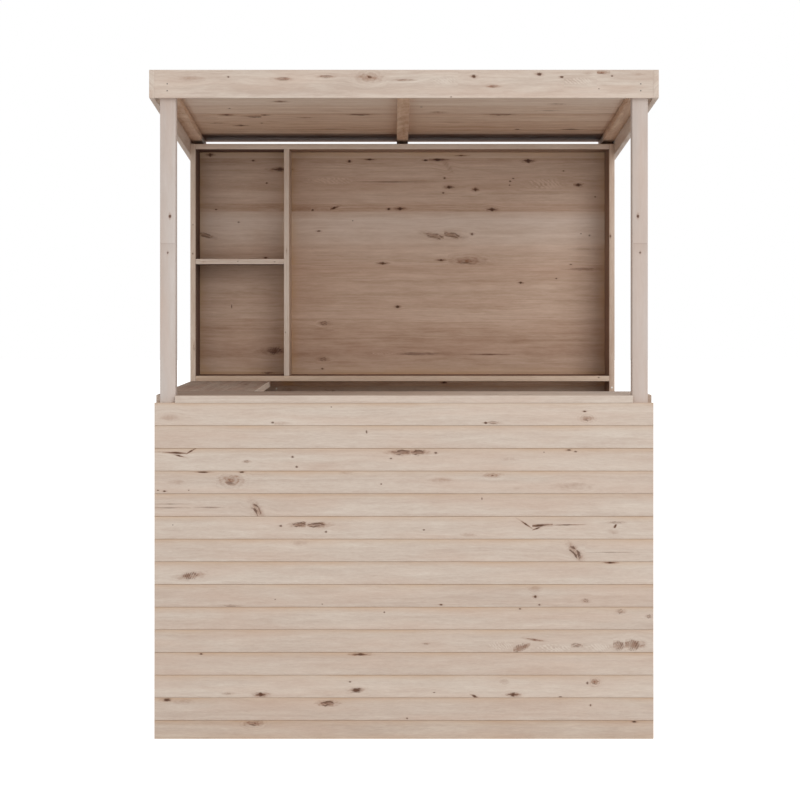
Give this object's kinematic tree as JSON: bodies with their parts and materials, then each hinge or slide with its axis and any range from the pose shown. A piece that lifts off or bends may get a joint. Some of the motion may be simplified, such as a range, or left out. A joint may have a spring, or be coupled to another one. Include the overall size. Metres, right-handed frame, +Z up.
{
  "type": "garden bar",
  "caption": "Open timber garden bar with a clad front, a counter with a return, a back shelf unit and a flat roof that falls to the back.",
  "frame": {"origin": "on the floor, at the middle of the outline in plan", "axes": "-Y is the serving front, +X is to the right seen from the front, +Z is up"},
  "size_m": [1.634, 1.334, 2.145],
  "materials": {
    "cladding": "planed, unfinished",
    "framing": "planed, unfinished",
    "counter": "planed, unfinished",
    "shelf_unit": "planed, unfinished",
    "roof_timber": "planed, unfinished"
  },
  "bodies": {
    "root": {"front_cladding": "cladding", "left_cladding": "cladding", "right_cladding": "cladding", "rear_cladding": "cladding", "front_post_left": "framing", "front_post_right": "framing", "front_top_rail": "framing", "front_bottom_rail": "framing", "front_middle_stud": "framing", "left_top_rail": "framing", "left_bottom_rail": "framing", "left_middle_stud": "framing", "left_rear_stud": "framing", "right_top_rail": "framing", "right_bottom_rail": "framing", "right_rear_stud": "framing", "front_counter": "counter", "return_counter": "counter", "side_board_left": "shelf_unit", "side_board_right": "shelf_unit", "top_board": "shelf_unit", "middle_board": "shelf_unit", "base_board": "shelf_unit", "divider_board": "shelf_unit", "small_shelf": "shelf_unit", "upper_back_panel": "shelf_unit", "front_fascia": "roof_timber", "side_fascia_left": "roof_timber", "side_fascia_right": "roof_timber", "rafter_left": "roof_timber", "rafter_centre": "roof_timber", "rafter_right": "roof_timber", "roof_panel": "roof_timber"}
  },
  "joints": []
}
